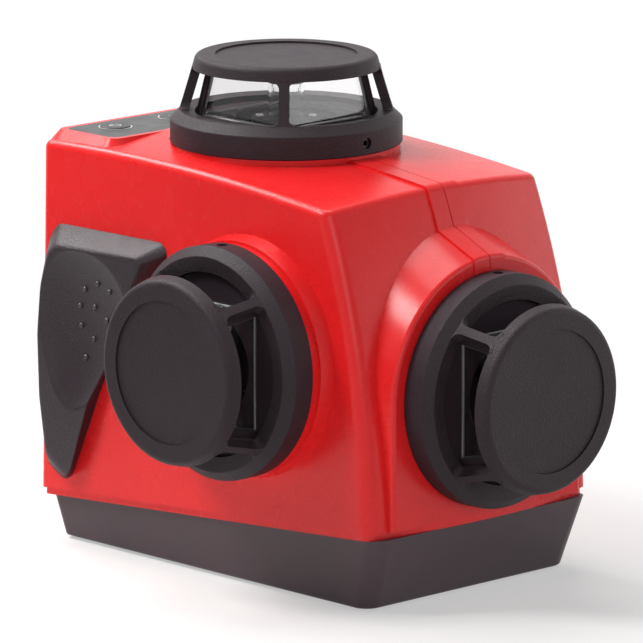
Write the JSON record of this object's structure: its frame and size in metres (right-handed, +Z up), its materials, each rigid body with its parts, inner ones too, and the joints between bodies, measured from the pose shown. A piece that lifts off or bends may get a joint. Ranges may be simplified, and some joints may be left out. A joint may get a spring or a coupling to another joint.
{
  "type": "cross line laser level",
  "caption": "Cross line laser level: red housing on a dark base, window turrets on top, side and front, rubber grips, a keypad, and lasers on an inner gimballed pendulum.",
  "frame": {"origin": "mouth of the tripod thread on the underside of the base, on the top turret's axis", "axes": "+Z up along the top turret, -Y to the front turret, -X to the side turret; the housing halves meet at X = 0"},
  "size_m": [0.1204, 0.1562, 0.1367],
  "materials": {
    "red_shell": "satin red moulding",
    "dark_base": "satin dark grey moulding",
    "black_frame": "fine textured black moulding",
    "inner_plastic": "plain moulding",
    "grip_rubber": "matte soft rubber",
    "foot_rubber": "matte rubber",
    "seal_rubber": "matte seal",
    "key_rubber": "smooth silicone",
    "overlay": "printed sheet",
    "window_glass": "clear",
    "optic_glass": "clear",
    "mirror": "polished",
    "barrel_metal": "dark anodised",
    "pendulum_metal": "cast and milled",
    "steel": "bright zinc",
    "dark_steel": "black oxide",
    "brass": "turned",
    "copper": "rolled copper",
    "magnet": "nickel plated",
    "board": "solder mask",
    "switch": "moulded",
    "cell": "plain sleeve",
    "knob": "textured black"
  },
  "bodies": {
    "root": {"left_shell": "red_shell", "right_shell": "red_shell", "base_tray": "dark_base", "rubber_feet": "foot_rubber", "tripod_insert": "brass", "case_screws": "dark_steel", "small_screws": "steel", "left_grip": "grip_rubber", "right_grip": "grip_rubber", "keypad_overlay": "overlay", "key_board": "board", "key_switches": "switch", "gimbal_bracket": "pendulum_metal", "outer_bearings": "steel", "magnet_bracket": "inner_plastic", "damping_magnets": "magnet", "battery_holder": "inner_plastic", "battery_cells": "cell", "battery_contacts": "steel", "door_pin": "steel", "main_board": "board", "top_turret_cage": "black_frame", "top_window_frame": "black_frame", "top_window_panes": "window_glass", "top_gasket": "seal_rubber", "top_set_screws": "dark_steel", "side_turret_cage": "black_frame", "side_window_frame": "black_frame", "side_window_panes": "window_glass", "side_gasket": "seal_rubber", "side_set_screws": "dark_steel", "front_turret_cage": "black_frame", "front_window_frame": "black_frame", "front_window_panes": "window_glass", "front_gasket": "seal_rubber", "front_set_screws": "dark_steel"},
    "gimbal": {"gimbal_ring": "pendulum_metal", "gimbal_pins": "steel"},
    "pendulum": {"pendulum_frame": "pendulum_metal", "inner_bearings": "steel", "damping_plate": "copper", "counterweight": "brass", "head_screws": "steel", "top_laser_barrel": "barrel_metal", "top_optic_tube": "optic_glass", "top_cone_mirror": "mirror", "side_laser_barrel": "barrel_metal", "side_optic_tube": "optic_glass", "side_cone_mirror": "mirror", "front_laser_barrel": "barrel_metal", "front_optic_tube": "optic_glass", "front_cone_mirror": "mirror"},
    "lock": {"lock_shaft": "steel", "lock_knob": "knob"},
    "left_button": {"left_button": "key_rubber"},
    "middle_button": {"middle_button": "key_rubber"},
    "right_button": {"right_button": "key_rubber"},
    "battery_door": {"battery_door": "red_shell"}
  },
  "joints": [
    {"name": "gimbal_roll", "type": "hinge", "parent": "root", "child": "gimbal", "pos_m": [0, -0.03, 0.092], "axis": [1, 0, 0], "range_deg": [-3.5, 3.5]},
    {"name": "pendulum_pitch", "type": "hinge", "parent": "gimbal", "child": "pendulum", "pos_m": [0, -0.03, 0.092], "axis": [0, 1, 0], "range_deg": [-3.5, 3.5]},
    {"name": "lock_turn", "type": "hinge", "parent": "root", "child": "lock", "pos_m": [0, -0.03, 0.033], "axis": [-1, 0, 0], "range_deg": [0, 90]},
    {"name": "battery_door_hinge", "type": "hinge", "parent": "root", "child": "battery_door", "pos_m": [0, 0.0527, 0.0211], "axis": [-1, 0, 0], "range_deg": [0, 90]},
    {"name": "left_button_press", "type": "slide", "parent": "root", "child": "left_button", "axis": [0, 0, -1], "range_m": [0, 0.0006], "stiffness_N_per_m": 400},
    {"name": "middle_button_press", "type": "slide", "parent": "root", "child": "middle_button", "axis": [0, 0, -1], "range_m": [0, 0.0006], "stiffness_N_per_m": 400},
    {"name": "right_button_press", "type": "slide", "parent": "root", "child": "right_button", "axis": [0, 0, -1], "range_m": [0, 0.0006], "stiffness_N_per_m": 400}
  ]
}
